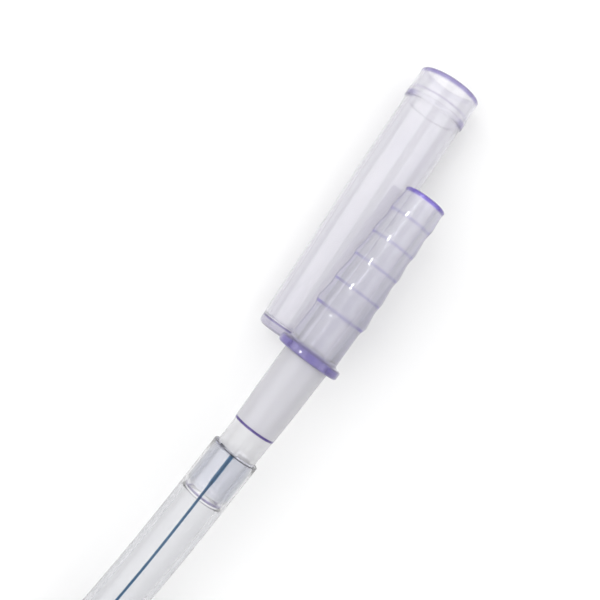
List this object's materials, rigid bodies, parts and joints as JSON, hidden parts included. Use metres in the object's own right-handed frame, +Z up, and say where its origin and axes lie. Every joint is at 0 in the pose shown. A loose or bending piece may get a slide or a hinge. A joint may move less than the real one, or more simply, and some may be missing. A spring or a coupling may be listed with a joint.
{
  "type": "drainage tube with stepped connector and cap",
  "caption": "Hollow stepped tubing connector with a flange, its protective cap lying beside it, and a clear striped drainage tube that leads away and lies folded in a tied hank.",
  "frame": {"origin": "on the surface that the part lies on, under the middle of the connector, cap and connecting tube", "axes": "+X along the connector to its tip, +Y to the side where the cap lies, +Z up"},
  "size_m": [0.3285, 0.0647, 0.022],
  "materials": {
    "violet_clear_plastic": "moulded, violet-tinted and see-through",
    "pale_violet_clear_plastic": "moulded, faintly violet and see-through",
    "soft_clear_plastic": "smooth, soft and see-through",
    "clear_tube_plastic": "extruded, see-through, with one thin blue stripe in the wall",
    "white_band": "flat plain band"
  },
  "bodies": {
    "root": {"stepped_connector": "violet_clear_plastic", "protective_cap": "pale_violet_clear_plastic", "connecting_tube": "soft_clear_plastic", "drainage_tube_end": "clear_tube_plastic", "drainage_tube": "clear_tube_plastic", "drainage_tube_hank": "clear_tube_plastic", "drainage_tube_tail": "clear_tube_plastic", "hank_tie": "white_band"}
  },
  "joints": []
}
